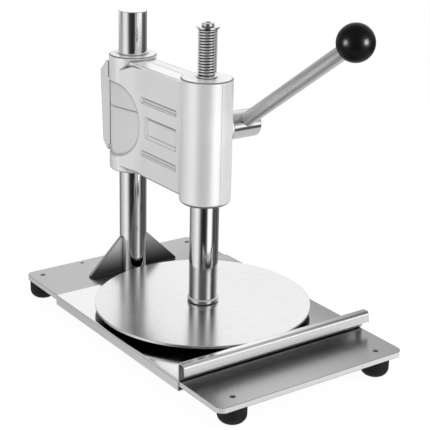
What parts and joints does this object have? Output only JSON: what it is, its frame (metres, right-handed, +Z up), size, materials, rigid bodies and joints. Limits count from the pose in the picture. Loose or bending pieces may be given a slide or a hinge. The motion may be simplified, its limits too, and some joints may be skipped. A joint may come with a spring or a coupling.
{
  "type": "manual pizza dough press",
  "caption": "Bench press for flattening dough: a ball-ended lever drives a round plate down onto a tray that slides out, on a footed base with a column.",
  "frame": {"origin": "on the table that the feet stand on, straight below the middle of the base plate, which is also the axis of the press shaft and its round plate", "axes": "+Z up, -Y towards the operator (the tray's lip), +Y towards the column, +X to the operator's right, the side of the lever"},
  "size_m": [0.24, 0.4, 0.3703],
  "materials": {
    "base_steel": "brushed stainless sheet",
    "tray_steel": "bright finely brushed stainless sheet",
    "plate_steel": "fine brushed stainless plate with a bright edge",
    "polished_bar": "ground and polished round bar",
    "head_satin": "satin silver coating on an aluminium casting",
    "hub_chrome": "polished turned steel",
    "rod_steel": "turned and ground bar",
    "knob_black": "glossy black moulded plastic",
    "foot_rubber": "matt black rubber",
    "spring_steel": "bright drawn wire",
    "washer_steel": "bright turned steel",
    "dark_steel": "plain steel",
    "bush_bronze": "machined bronze"
  },
  "bodies": {
    "base": {"base_plate": "base_steel", "foot_front_left": "foot_rubber", "foot_front_right": "foot_rubber", "foot_rear_left": "foot_rubber", "foot_rear_right": "foot_rubber", "foot_studs": "dark_steel", "column": "polished_bar", "column_bolt": "dark_steel", "column_washer": "washer_steel", "gusset_left": "base_steel", "gusset_right": "base_steel"},
    "head": {"head_casting": "head_satin", "clamp_screws": "dark_steel", "clamp_washers": "washer_steel", "lower_bush": "bush_bronze", "upper_bush": "bush_bronze", "rod_bush": "washer_steel", "outer_pinion_bush": "bush_bronze", "inner_pinion_bush": "bush_bronze", "return_spring": "spring_steel"},
    "ram": {"press_shaft": "polished_bar", "plate_collar": "polished_bar", "press_plate": "plate_steel", "plate_screws": "dark_steel", "spring_washer": "washer_steel", "top_screw": "washer_steel"},
    "lever": {"pinion_shaft": "dark_steel", "lever_hub": "hub_chrome", "lever_rod": "rod_steel", "ball_knob": "knob_black", "knob_insert": "bush_bronze"},
    "tray": {"dough_tray": "tray_steel"}
  },
  "joints": [
    {"name": "head_height", "type": "slide", "parent": "base", "child": "head", "axis": [0, 0, 1], "range_m": [0, 0.045]},
    {"name": "press_slide", "type": "slide", "parent": "head", "child": "ram", "axis": [0, 0, -1], "range_m": [0, 0.0075], "stiffness_N_per_m": 2400, "springref_m": -0.045, "deforming": ["return_spring"]},
    {"name": "lever_turn", "type": "hinge", "parent": "head", "child": "lever", "pos_m": [0, 0.0255, 0.2265], "axis": [1, 0, 0], "range_deg": [0, 35.9]},
    {"name": "tray_slide", "type": "slide", "parent": "base", "child": "tray", "axis": [0, -1, 0], "range_m": [-0.01, 0.3]}
  ],
  "couplings": [
    {"joint": "lever_turn", "follows": "press_slide", "rad_per_m": 83.333}
  ]
}
